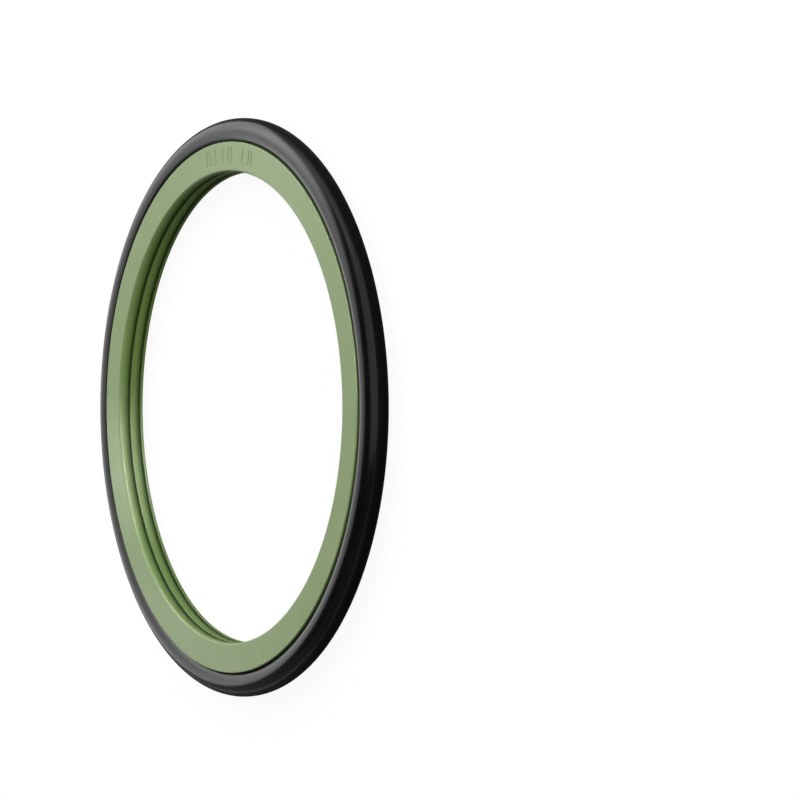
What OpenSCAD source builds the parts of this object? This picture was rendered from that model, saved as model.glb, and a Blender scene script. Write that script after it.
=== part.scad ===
// Two-piece rotary and rod seal, lying flat: a turned slide ring of filled PTFE that runs on the
// shaft, and a nitrile O-ring that sits in the hollow of its back and presses it inwards.
// Millimetres. +Z is the seal's axis and Z = 0 is the plane that it lies on.

/* [Slide ring] */
// Diameter of the bore that runs on the shaft
bore_d = 60; // [30:0.5:200]
// Radial wall from the bore to the back, beside the seat
wall = 3.8; // [3:0.1:8]
// Width along the axis, between the two faces
ring_w = 3.5; // [3.4:0.1:8]
// Chamfer between the upper face and the bore
upper_chamfer = 0.3; // [0.05:0.05:0.35]
// Chamfer between the bore and the lower face
lower_chamfer = 0.1; // [0.05:0.05:0.15]
// Chamfer that breaks the two edges of the back
back_chamfer = 0.2; // [0.05:0.05:0.25]

/* [Bore grooves] */
// Width of each groove, which is also the diameter of its round bottom
groove_w = 0.25; // [0.2:0.05:0.3]
// Depth of each groove below the bore
groove_depth = 0.6; // [0.4:0.05:1]
// Distance from the upper face to the lower edge of the first groove
groove_from_face = 1.6; // [1.5:0.05:1.8]
// Distance between neighbouring grooves
groove_pitch = 1.5; // [1.3:0.05:1.6]
// Number of grooves
groove_count = 2; // [1:1:2]
// Depth to which the land above a groove falls away before it meets the groove
land_fall = 0.2; // [0.05:0.05:0.3]
// Width of the part of each land that falls away
land_fall_w = 0.7; // [0.2:0.05:0.8]

/* [O-ring] */
// Diameter of the round cord, as stretched over the slide ring
cord_d = 3.6; // [2.4:0.01:5]
// Depth of the hollow in the back of the slide ring that seats the cord
seat_depth = 0.55; // [0.1:0.05:0.65]

/* [Hidden] */
$fn = 180;

bore_r = bore_d / 2;
back_r = bore_r + wall;
// The seal lies on its cord, or on the lower face where the slide ring is the wider one
mid_z = max(ring_w, cord_d) / 2;
low_z = mid_z - ring_w / 2;
high_z = mid_z + ring_w / 2;
cord_centre_r = back_r - seat_depth + cord_d / 2;
groove_heights = [for (i = [0 : groove_count - 1]) high_z - groove_from_face - i * groove_pitch];

// Blank of the slide ring in section, with its four edges broken
module blank_section() {
    polygon([
        [bore_r + lower_chamfer, low_z],
        [back_r - back_chamfer, low_z],
        [back_r, low_z + back_chamfer],
        [back_r, high_z - back_chamfer],
        [back_r - back_chamfer, high_z],
        [bore_r + upper_chamfer, high_z],
        [bore_r, high_z - upper_chamfer],
        [bore_r, low_z + lower_chamfer]
    ]);
}

// One bore groove in section, with its lower edge at height z: a narrow slot with a round bottom.
// The land above it falls away to the slot, and the land below it starts with a sharp edge.
module groove_section(z) {
    bottom_centre_r = bore_r + groove_depth - groove_w / 2;
    slot_top = z + groove_w;
    translate([bottom_centre_r, z + groove_w / 2]) circle(d = groove_w);
    polygon([
        [bore_r - 1, z],
        [bottom_centre_r, z],
        [bottom_centre_r, slot_top],
        [bore_r + land_fall, slot_top],
        [bore_r, slot_top + land_fall_w],
        [bore_r - 1, slot_top + land_fall_w]
    ]);
}

// Cord of the O-ring in section. Its seat in the slide ring has the same form.
module cord_section() {
    translate([cord_centre_r, mid_z]) circle(d = cord_d);
}

// Slide ring: one turned piece, with the wide land of its bore next to the upper face
module seal_ring() {
    color("#8DA671")
        rotate_extrude()
            difference() {
                blank_section();
                for (z = groove_heights) groove_section(z);
                cord_section();
            }
}

// O-ring: one moulded piece, seated in the back of the slide ring all the way round
module o_ring() {
    color("#161617")
        rotate_extrude() cord_section();
}

seal_ring();
o_ring();
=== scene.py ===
import math

import bpy
from mathutils import Matrix, Vector


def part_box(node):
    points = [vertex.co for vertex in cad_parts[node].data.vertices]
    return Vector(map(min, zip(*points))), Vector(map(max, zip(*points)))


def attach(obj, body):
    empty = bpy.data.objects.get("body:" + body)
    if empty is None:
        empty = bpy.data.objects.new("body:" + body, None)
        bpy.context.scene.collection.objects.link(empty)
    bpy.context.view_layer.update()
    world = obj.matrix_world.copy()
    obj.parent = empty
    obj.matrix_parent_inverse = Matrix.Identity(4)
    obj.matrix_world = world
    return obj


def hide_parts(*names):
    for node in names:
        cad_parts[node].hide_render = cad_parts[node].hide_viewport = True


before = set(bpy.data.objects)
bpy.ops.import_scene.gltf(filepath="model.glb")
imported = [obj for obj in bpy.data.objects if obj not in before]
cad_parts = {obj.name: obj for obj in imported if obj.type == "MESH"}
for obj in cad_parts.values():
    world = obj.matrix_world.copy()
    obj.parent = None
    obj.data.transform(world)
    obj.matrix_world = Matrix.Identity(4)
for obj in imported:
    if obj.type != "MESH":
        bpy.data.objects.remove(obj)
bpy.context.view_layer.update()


# Slide ring
# One ring turned from a tube of PTFE that is filled and pigmented green. Faces, bore, grooves
# and the hollow back are cut on the lathe, then the edges are broken. The shaft runs in its bore,
# and it is held only by the O-ring that grips its back.

MM = 0.001

ring_low, ring_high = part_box("seal_ring")
lower_z, face_z, back_r = ring_low.z, ring_high.z, ring_high.x
mid_z = (lower_z + face_z) / 2
bore_r = 30 * MM
lip_r, lip_z = 0.16 * MM, 0.28 * MM
lip_face_round, lip_bore_round = 0.2 * MM, 0.3 * MM
lower_chamfer = 0.08 * MM
back_chamfer = 0.08 * MM
broken_edge = 0.05 * MM
groove_w = 0.25 * MM
groove_depth = 0.6 * MM
groove_from_face = 1.6 * MM
groove_pitch = 1.5 * MM
groove_upper_edge, groove_lower_edge = 0.03 * MM, 0.04 * MM
land_fall = 0.2 * MM
land_fall_w = 0.7 * MM
cord_r = 1.8 * MM
seat_depth = 0.55 * MM
cord_centre_r = back_r - seat_depth + cord_r


def rounded(corners, steps=4):
    """A closed outline of (r, z) points from (r, z, radius) corners, with an arc of that radius
    at each corner whose radius isn't 0."""
    outline = []
    for i, (r, z, radius) in enumerate(corners):
        here = Vector((r, z))
        if not radius:
            outline.append(here)
            continue
        to_last = (Vector(corners[i - 1][:2]) - here).normalized()
        to_next = (Vector(corners[(i + 1) % len(corners)][:2]) - here).normalized()
        half = to_last.angle(to_next) / 2
        centre = here + (to_last + to_next).normalized() * radius / math.sin(half)
        start = here + to_last * radius / math.tan(half) - centre
        end = here + to_next * radius / math.tan(half) - centre
        turn = start.angle_signed(end)
        for k in range(steps + 1):
            outline.append(centre + Matrix.Rotation(-turn * k / steps, 2) @ start)
    return outline


def with_rows(outline, longest):
    """The outline with points added on every straight stretch longer than the given length."""
    dense = []
    for i, a in enumerate(outline):
        b = outline[(i + 1) % len(outline)]
        count = max(1, math.ceil((b - a).length / longest))
        dense += [a.lerp(b, k / count) for k in range(count)]
    return dense


def turned(name, outline, angles, sink=None, sharp_deg=35):
    """A closed outline of (r, z) points turned round Z, with a column of points at each angle.
    Where sink is given, it says how far the point at radius r, height z and angle a goes down.
    Edges that turn by more than sharp_deg stay sharp."""
    points = []
    for a in angles:
        for r, z in outline:
            points.append((r * math.cos(a), r * math.sin(a), z - (sink(r, z, a) if sink else 0)))
    rows, columns = len(outline), len(angles)
    quads = []
    for c in range(columns):
        d = (c + 1) % columns
        for r in range(rows):
            s = (r + 1) % rows
            quads.append((c * rows + r, d * rows + r, d * rows + s, c * rows + s))
    mesh = bpy.data.meshes.new(name)
    mesh.from_pydata(points, [], quads)
    mesh.polygons.foreach_set("use_smooth", [True] * len(quads))
    mesh.set_sharp_from_angle(angle=math.radians(sharp_deg))
    piece = bpy.data.objects.new(name, mesh)
    bpy.context.scene.collection.objects.link(piece)
    return piece


def groove_corners(z, steps=10):
    """Points of one bore groove with its lower edge at height z, from the land above it down."""
    slot_top, bottom_r = z + groove_w, bore_r + groove_depth
    fall = [(bore_r + land_fall * (k / steps) ** 2, slot_top + land_fall_w * (1 - k / steps), 0)
            for k in range(steps)]
    # A hair under half the width, so that the bottom's two arcs don't end in one point.
    round_bottom = 0.499 * groove_w
    return fall + [
        (bore_r + land_fall, slot_top, groove_upper_edge),
        (bottom_r, slot_top, round_bottom),
        (bottom_r, z, round_bottom),
        (bore_r, z, groove_lower_edge),
    ]


def seat_corners(steps=24):
    """Points of the hollow back that the cord fills, from its lower lip to its upper one."""
    half = math.acos((cord_centre_r - back_r) / cord_r)
    turns = [half - 2 * half * k / steps for k in range(steps + 1)]
    return [(cord_centre_r - cord_r * math.cos(t), mid_z - cord_r * math.sin(t), 0) for t in turns]


# The face is marked near its top with three groups of short strokes and dots, pressed in. Each
# group has its angle in degrees, and each stroke its place along the ring and its two ends
# across it, in millimetres from the middle of the group.
mark_r = 32 * MM
mark_depth = 0.08 * MM
mark_half_w = 0.25 * MM
mark_reach = 1.2 * MM
hair = 0.001 * MM
mark_groups = {
    97.4: [(-1.2, -0.9, 0.9), (-0.5, -0.9, -0.9), (0.3, -0.9, 0.9), (1.1, -0.9, 0.9)],
    89.5: [(-1.1, -0.9, 0.9), (-0.3, -0.9, 0.9), (0.4, 0, 0), (1.2, -0.9, 0.9)],
    80.6: [(-1.5, -0.9, 0.9), (-0.7, -0.9, 0.9), (0.1, -0.9, -0.9), (0.9, -0.9, 0.9), (1.6, 0, 0)],
}


def mark_sink(r, z, a):
    """How far the pressed marks lower a point of the face, in a soft slope to each mark's line."""
    across = r - mark_r
    if z < face_z - hair or abs(across) > mark_reach:
        return 0
    deepest = 0
    for middle, strokes in mark_groups.items():
        along = (a - math.radians(middle)) * r
        for place, start, end in strokes:
            off = across - min(max(across, start * MM), end * MM)
            deepest = max(deepest, 1 - math.hypot(along - place * MM, off) / mark_half_w)
    return mark_depth * deepest * deepest * (3 - 2 * deepest)


# The marks need fine geometry. The middle of the face has a row of points every 0.1 mm, counted
# from the axis, and where the marks are it has a column every eighth of a degree. Elsewhere the
# columns are a degree apart.
face_row = 0.1 * MM
outer_row, inner_row = 333, 306
face_rows = [(k * face_row, face_z, 0) for k in range(outer_row, inner_row - 1, -1)]
marked_from, marked_to = 76, 102
marked_columns = 8
angles = [math.radians(marked_from + k / marked_columns)
          for k in range((marked_to - marked_from) * marked_columns)]
angles += [math.radians(a) for a in range(marked_to, marked_from + 360)]
longest_row = 0.3 * MM

upper_groove_z = face_z - groove_from_face
ring_outline = rounded([
    (back_r - back_chamfer, lower_z, broken_edge),
    (back_r, lower_z + back_chamfer, broken_edge),
    *seat_corners(),
    (back_r, face_z - back_chamfer, broken_edge),
    (back_r - back_chamfer, face_z, broken_edge),
    *face_rows,
    (bore_r + lip_r, face_z, lip_face_round),
    (bore_r, face_z - lip_z, lip_bore_round),
    *groove_corners(upper_groove_z),
    *groove_corners(upper_groove_z - groove_pitch),
    (bore_r, lower_z + lower_chamfer, broken_edge),
    (bore_r + lower_chamfer, lower_z, broken_edge),
])
seal_ring = turned("slide_ring", with_rows(ring_outline, longest_row), angles, mark_sink)


def linear(hex_colour):
    """An sRGB hex colour as linear RGBA."""
    parts = [int(hex_colour[i:i + 2], 16) / 255 for i in (0, 2, 4)]
    return [p / 12.92 if p <= 0.04045 else ((p + 0.055) / 1.055) ** 2.4 for p in parts] + [1.0]


def node(tree, kind, settings=None, links=None):
    """Adds a node, sets its properties and sockets, and links its sockets to other outputs. A
    socket goes by its name, or by its number where several sockets share one name."""
    made = tree.nodes.new(kind)
    for key, value in (settings or {}).items():
        if isinstance(key, str) and hasattr(made, key):
            setattr(made, key, value)
        else:
            made.inputs[key].default_value = value
    for key, source in (links or {}).items():
        tree.links.new(source, made.inputs[key])
    return made


def new_material(name):
    """An empty node material and its tree."""
    material = bpy.data.materials.new(name)
    material.use_nodes = True
    material.node_tree.nodes.clear()
    return material, material.node_tree


# Filled PTFE as it leaves the lathe: waxy and satin. The tool's feed leaves fine lines round the
# axis, which stretch its gloss across them, and the filler gives it a faint cloudy speckle.
# The real feed is about 0.1 mm a turn and the filler's grains are under 0.05 mm. Both are drawn
# two to six times coarser, or they wouldn't show.
feed = 0.2 * MM
grain = 0.3 * MM
cloud = 4 * MM
line_height = 0.006 * MM
ptfe, tree = new_material("turned_filled_ptfe")
place = node(tree, "ShaderNodeTexCoord").outputs["Object"]
split = node(tree, "ShaderNodeSeparateXYZ", links={0: place})
flat_place = node(tree, "ShaderNodeCombineXYZ", links={0: split.outputs[0], 1: split.outputs[1]})
radius = node(tree, "ShaderNodeVectorMath", {"operation": "LENGTH"}, {0: flat_place.outputs[0]})
along_section = node(tree, "ShaderNodeMath", {"operation": "ADD"},
                     {0: radius.outputs["Value"], 1: split.outputs[2]})
feed_lines = node(tree, "ShaderNodeTexNoise",
                  {"noise_dimensions": "1D", "Scale": 1 / feed, "Detail": 2.0, "Roughness": 0.6},
                  {"W": along_section.outputs[0]})
grains = node(tree, "ShaderNodeTexNoise",
              {"Scale": 1 / grain, "Detail": 2.0, "Roughness": 0.6}, {"Vector": place})
clouds = node(tree, "ShaderNodeTexNoise",
              {"Scale": 1 / cloud, "Detail": 3.0, "Roughness": 0.55}, {"Vector": place})

# The noise keeps mostly between these two values, so its ramps run from one to the other.
noise_low, noise_high = 0.3, 0.7
grain_tone = node(tree, "ShaderNodeValToRGB", links={"Fac": grains.outputs["Fac"]})
grain_tone.color_ramp.elements[0].position = noise_low
grain_tone.color_ramp.elements[0].color = linear("839B60")
grain_tone.color_ramp.elements[1].position = noise_high
grain_tone.color_ramp.elements[1].color = linear("8EA66A")
cloud_tone = node(tree, "ShaderNodeValToRGB", links={"Fac": clouds.outputs["Fac"]})
cloud_tone.color_ramp.elements[0].position = noise_low
cloud_tone.color_ramp.elements[0].color = linear("8CA065")
cloud_tone.color_ramp.elements[1].position = noise_high
cloud_tone.color_ramp.elements[1].color = linear("84A166")

# A Mix node of two colours has its factor at socket 0 and the colours at 6 and 7.
face_green = node(tree, "ShaderNodeMix", {"data_type": "RGBA", 0: 0.5},
                  {6: grain_tone.outputs["Color"], 7: cloud_tone.outputs["Color"]})

# The bore is painted a deeper green than the faces: painted shade for the darker, more saturated
# green that the light gives it in there. This begins under the lip, and ends above the underside,
# which is as pale as the face.
bore_starts_z, bore_full_z = face_z - 0.2 * MM, face_z - 0.6 * MM
underside_z = lower_z + 0.1 * MM
under_lip = node(tree, "ShaderNodeMapRange",
                 {"From Min": bore_full_z, "From Max": bore_starts_z, "To Min": 1.0, "To Max": 0.0},
                 {"Value": split.outputs[2]})
over_underside = node(tree, "ShaderNodeMath", {"operation": "GREATER_THAN", 1: underside_z},
                      {0: split.outputs[2]})
in_bore = node(tree, "ShaderNodeMath", {"operation": "MULTIPLY"},
               {0: under_lip.outputs[0], 1: over_underside.outputs[0]})
bore_painted_deeper_green = node(tree, "ShaderNodeMix",
                  {"data_type": "RGBA", "blend_type": "MULTIPLY", 7: linear("E0ECC6")},
                  {0: in_bore.outputs[0], 6: face_green.outputs[2]})

# It is painted deeper still in narrow places, which are the grooves and the gap beside the cord,
# and where the lands fall away towards the grooves: painted shade for the shade that falls there.
# Anything in the bore counts as half open at least, and the underside as wholly open. A fall
# darkens quickly at its start, which a power below 1 gives.
narrow = 0.5 * MM
least_open_in_bore = 0.5
shade_painted_on_fall = 0.6
fall_power = 0.6
openness = node(tree, "ShaderNodeAmbientOcclusion", {"samples": 8, "Distance": narrow})
on_underside = node(tree, "ShaderNodeMath", {"operation": "LESS_THAN", 1: underside_z},
                    {0: split.outputs[2]})
least_open = node(tree, "ShaderNodeMath", {"operation": "MULTIPLY_ADD", 1: least_open_in_bore},
                  {0: in_bore.outputs[0], 2: on_underside.outputs[0]})
painted_crevice_lightness = node(tree, "ShaderNodeMath", {"operation": "MAXIMUM"},
                  {0: openness.outputs["AO"], 1: least_open.outputs[0]})
# The falls are painted darker towards the grooves: painted shade for their tilt away from the
# light.
fallen = node(tree, "ShaderNodeMapRange", {"From Min": bore_r, "From Max": bore_r + land_fall},
              {"Value": radius.outputs["Value"]})
fallen_soon = node(tree, "ShaderNodeMath", {"operation": "POWER", 1: fall_power},
                   {0: fallen.outputs[0]})
on_fall = node(tree, "ShaderNodeMath", {"operation": "MULTIPLY"},
               {0: fallen_soon.outputs[0], 1: in_bore.outputs[0]})
painted_fall_lightness = node(tree, "ShaderNodeMath",
                {"operation": "MULTIPLY_ADD", 1: -shade_painted_on_fall, 2: 1.0}, {0: on_fall.outputs[0]})
painted_shade_lightness = node(tree, "ShaderNodeMath", {"operation": "MULTIPLY"},
                 {0: painted_crevice_lightness.outputs[0], 1: painted_fall_lightness.outputs[0]})
# The dark green here is painted shade, which the colour mixes towards where the painted lightness
# is low.
green = node(tree, "ShaderNodeMix", {"data_type": "RGBA", 6: linear("2F4A1C")},
             {0: painted_shade_lightness.outputs[0], 7: bore_painted_deeper_green.outputs[2]})

gloss = node(tree, "ShaderNodeMapRange",
             {"From Min": noise_low, "From Max": noise_high, "To Min": 0.34, "To Max": 0.42},
             {"Value": clouds.outputs["Fac"]})
feed_bump = node(tree, "ShaderNodeBump", {"Strength": 1.0, "Distance": line_height},
                 {"Height": feed_lines.outputs["Fac"]})
grain_bump = node(tree, "ShaderNodeBump", {"Strength": 1.0, "Distance": line_height},
                  {"Height": grains.outputs["Fac"], "Normal": feed_bump.outputs[0]})
round_axis = node(tree, "ShaderNodeTangent", {"direction_type": "RADIAL", "axis": "Z"})
shader = node(tree, "ShaderNodeBsdfPrincipled",
              {"IOR": 1.5, "Specular IOR Level": 0.54,
               "Anisotropic": 0.8, "Anisotropic Rotation": 0.25},
              {"Base Color": green.outputs[2], "Roughness": gloss.outputs[0],
               "Normal": grain_bump.outputs[0], "Tangent": round_axis.outputs[0]})
node(tree, "ShaderNodeOutputMaterial", links={"Surface": shader.outputs[0]})
seal_ring.data.materials.append(ptfe)

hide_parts("seal_ring")
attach(seal_ring, "root")


# O-ring
# One ring of black nitrile rubber, moulded in a polished mould and trimmed flush, so its skin is
# smooth and glossy all round. It is stretched over the slide ring and snaps into the hollow of
# its back, where its own grip holds it.

cord_steps = 120
ring_steps = 480
cord_turns = [2 * math.pi * k / cord_steps for k in range(cord_steps)]
cord_outline = [Vector((cord_centre_r + cord_r * math.cos(t), mid_z + cord_r * math.sin(t)))
                for t in cord_turns]
o_ring = turned("rubber_cord", cord_outline,
                [2 * math.pi * k / ring_steps for k in range(ring_steps)])

# Nitrile rubber from a polished mould: deep black under a clear gloss, with the faint unevenness
# of a moulded skin. The skin's real grain is about 0.05 mm, and it is drawn five times coarser.
skin_grain = 0.25 * MM
skin_height = 0.002 * MM
bloom_patch = 3 * MM
nitrile, tree = new_material("moulded_nitrile")
place = node(tree, "ShaderNodeTexCoord").outputs["Object"]
skin = node(tree, "ShaderNodeTexNoise",
            {"Scale": 1 / skin_grain, "Detail": 2.0, "Roughness": 0.5}, {"Vector": place})
bloom = node(tree, "ShaderNodeTexNoise",
             {"Scale": 1 / bloom_patch, "Detail": 4.0, "Roughness": 0.6}, {"Vector": place})
black = node(tree, "ShaderNodeValToRGB", links={"Fac": bloom.outputs["Fac"]})
black.color_ramp.elements[0].position = 0.35
black.color_ramp.elements[0].color = linear("060607")
black.color_ramp.elements[1].position = 0.75
black.color_ramp.elements[1].color = linear("0A0A0B")
gloss = node(tree, "ShaderNodeMapRange",
             {"From Min": noise_low, "From Max": noise_high, "To Min": 0.21, "To Max": 0.26},
             {"Value": bloom.outputs["Fac"]})
skin_bump = node(tree, "ShaderNodeBump", {"Strength": 1.0, "Distance": skin_height},
                 {"Height": skin.outputs["Fac"]})
shader = node(tree, "ShaderNodeBsdfPrincipled", {"IOR": 1.5, "Specular IOR Level": 0.42},
              {"Base Color": black.outputs["Color"], "Roughness": gloss.outputs[0],
               "Normal": skin_bump.outputs[0]})
node(tree, "ShaderNodeOutputMaterial", links={"Surface": shader.outputs[0]})
o_ring.data.materials.append(nitrile)

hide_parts("o_ring")
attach(o_ring, "root")


# Camera
# A long lens looks down on the lying seal at 30 degrees, turned on its side, so that the seal
# stands in the picture as it does in the photograph, in the left half of the frame. The focal
# length, the distances and the angle are the ones that fit both rings' outlines there.

picture_px = 800
focal_px = 5516
sensor_mm = 36
seal_to_lens = 703 * MM
seal_left = 20.6 * MM
seal_down = 0.93 * MM
axis_to_view = math.radians(60.15)

to_viewer = Vector((math.sin(axis_to_view), 0, math.cos(axis_to_view)))
picture_up = Vector((0, 1, 0))
picture_right = picture_up.cross(to_viewer)
seal_centre = Vector((0, 0, mid_z))
camera = bpy.data.objects.new("camera", bpy.data.cameras.new("camera"))
bpy.context.scene.collection.objects.link(camera)
bpy.context.scene.camera = camera
camera.data.sensor_width = sensor_mm
camera.data.lens = sensor_mm * focal_px / picture_px
lens_at = (seal_centre + to_viewer * seal_to_lens
           + picture_right * seal_left + picture_up * seal_down)
turn = Matrix((picture_right, picture_up, to_viewer)).transposed().to_4x4()
camera.matrix_world = Matrix.Translation(lens_at) @ turn


# Light
# Soft panels round a dim studio: a large one at the picture's left that grows brighter towards
# its middle in two steps, and others above, below and by the camera. The camera doesn't see them,
# and the rubber mirrors them.

def panel(name, right_deg, up_deg, wide_deg, tall_deg, radiance, distance=0.7):
    """A soft panel seen from the seal in the given direction, of the given apparent size."""
    across, above = math.radians(right_deg), math.radians(up_deg)
    level = to_viewer * math.cos(across) + picture_right * math.sin(across)
    out = level * math.cos(above) + picture_up * math.sin(above)
    light = bpy.data.lights.new(name, "AREA")
    light.shape = "RECTANGLE"
    light.size = 2 * distance * math.tan(math.radians(wide_deg) / 2)
    light.size_y = 2 * distance * math.tan(math.radians(tall_deg) / 2)
    light.energy = radiance * math.pi * light.size * light.size_y
    lamp = bpy.data.objects.new(name, light)
    bpy.context.scene.collection.objects.link(lamp)
    side = picture_up.cross(out).normalized()
    turn = Matrix((side, out.cross(side), out)).transposed().to_4x4()
    lamp.matrix_world = Matrix.Translation(seal_centre + out * distance) @ turn
    lamp.visible_camera = False
    return lamp


panel("left_panel", -114, 18, 78, 72, 1.4, 0.35)
panel("left_glow", -102, 37, 46, 42, 0.8, 0.36)
panel("left_core", -104, 38, 28, 24, 1.3, 0.35)
panel("high_panel", -60, 68, 52, 26, 0.9)
panel("low_panel", -140, -48, 60, 60, 0.12)
panel("low_front_panel", -20, -60, 70, 40, 0.07)
panel("front_panel", 2, 22, 54, 78, 0.72)

# A fill from over the near side lights the bore, and nothing mirrors it.
fill = panel("fill", 19, 28, 16, 60, 6.4, 0.25)
fill.visible_glossy = False

# Two panels show only as gloss on the slide ring, one in its bore and one on its lip. The rubber
# would mirror them as white stripes, so they don't light it.
slide_ring_alone = bpy.data.collections.new("slide_ring_alone")
slide_ring_alone.objects.link(seal_ring)
bore_gleam = panel("bore_gleam", 19, 34, 16, 60, 25, 0.25)
lip_gleam = panel("lip_gleam", -60, 70, 70, 30, 3.0)
for gleam in (bore_gleam, lip_gleam):
    gleam.visible_diffuse = False
    gleam.light_linking.receiver_collection = slide_ring_alone


def narrow_light(name, aim, out, reach, irradiance, distance=0.6):
    """A narrow lamp in the direction out from its aim, which gets the given irradiance. Its light
    fades out at reach from there."""
    light = bpy.data.lights.new(name, "SPOT")
    light.spot_size = 2 * math.atan(reach / distance)
    light.spot_blend = 1.0
    light.shadow_soft_size = 2 * MM
    light.energy = irradiance * 4 * math.pi ** 2 * distance ** 2
    lamp = bpy.data.objects.new(name, light)
    bpy.context.scene.collection.objects.link(lamp)
    lamp.matrix_world = (Matrix.Translation(aim + out * distance)
                         @ out.to_track_quat("Z", "Y").to_matrix().to_4x4())
    lamp.visible_camera = False
    return lamp


# Narrow lights brighten a short stretch of the bore's far side, and of the face beside it.
far_land = Vector((-29 * MM, -9.4 * MM, mid_z))
across_the_bore = Vector((0.82, 0.55, 0.12)).normalized()
narrow_light("bore_light", far_land, across_the_bore, 10 * MM, 0.15)
face_beside = Vector((-30.8 * MM, -7.6 * MM, face_z))
from_outside = Vector((-0.83, -0.05, 0.5)).normalized()
face_light = narrow_light("face_light", face_beside, from_outside, 11 * MM, 0.055)
face_light.light_linking.receiver_collection = slide_ring_alone

world = bpy.data.worlds.new("studio")
bpy.context.scene.world = world
world.use_nodes = True
world.node_tree.nodes.clear()
dim = node(world.node_tree, "ShaderNodeBackground", {"Color": linear("FFFFFF"), "Strength": 0.05})
node(world.node_tree, "ShaderNodeOutputWorld", links={"Surface": dim.outputs[0]})


# Floor
# A pale table with a low pale wall far round it. The camera sees both white. Mirrors see it dark
# round the seal and half as pale at the wall, so it doesn't wash out the black rubber lying on it.
# The grey under the white carries the seal's shadow.

floor_r = 3.0
wall_h = 0.3
floor_sides = 96
dark_to, pale_from = 0.5, 6.0
white_of_its_own = 0.92

sides = [2 * math.pi * k / floor_sides for k in range(floor_sides)]
rim = [(floor_r * math.cos(t), floor_r * math.sin(t)) for t in sides]
table = tuple(range(floor_sides))
wall = [(k, (k + 1) % floor_sides, floor_sides + (k + 1) % floor_sides, floor_sides + k)
        for k in range(floor_sides)]
floor_mesh = bpy.data.meshes.new("floor")
floor_mesh.from_pydata([(x, y, 0) for x, y in rim] + [(x, y, wall_h) for x, y in rim],
                       [], [table, *wall])
floor = bpy.data.objects.new("floor", floor_mesh)
bpy.context.scene.collection.objects.link(floor)

paper, tree = new_material("pale_floor")
ray = node(tree, "ShaderNodeLightPath")
floor_place = node(tree, "ShaderNodeTexCoord").outputs["Object"]
away = node(tree, "ShaderNodeVectorMath", {"operation": "LENGTH"}, {0: floor_place})
far = node(tree, "ShaderNodeMapRange", {"From Min": dark_to, "From Max": pale_from},
           {"Value": away.outputs["Value"]})
mirrored = node(tree, "ShaderNodeMath", {"operation": "MAXIMUM"},
                {0: ray.outputs["Is Glossy Ray"], 1: ray.outputs["Is Transmission Ray"]})
mirrored_far = node(tree, "ShaderNodeMath", {"operation": "MULTIPLY"},
                    {0: mirrored.outputs[0], 1: far.outputs[0]})
seen = node(tree, "ShaderNodeMath", {"operation": "MAXIMUM"},
            {0: ray.outputs["Is Camera Ray"], 1: mirrored_far.outputs[0]})
whiteness = node(tree, "ShaderNodeMath", {"operation": "MULTIPLY", 1: white_of_its_own},
                 {0: seen.outputs[0]})
grey = node(tree, "ShaderNodeBsdfDiffuse", {"Color": linear("616161")})
white = node(tree, "ShaderNodeEmission", links={"Strength": whiteness.outputs[0]})
both = node(tree, "ShaderNodeAddShader", links={0: grey.outputs[0], 1: white.outputs[0]})
node(tree, "ShaderNodeOutputMaterial", links={"Surface": both.outputs[0]})
floor_mesh.materials.append(paper)

bpy.context.scene.view_settings.view_transform = "Standard"
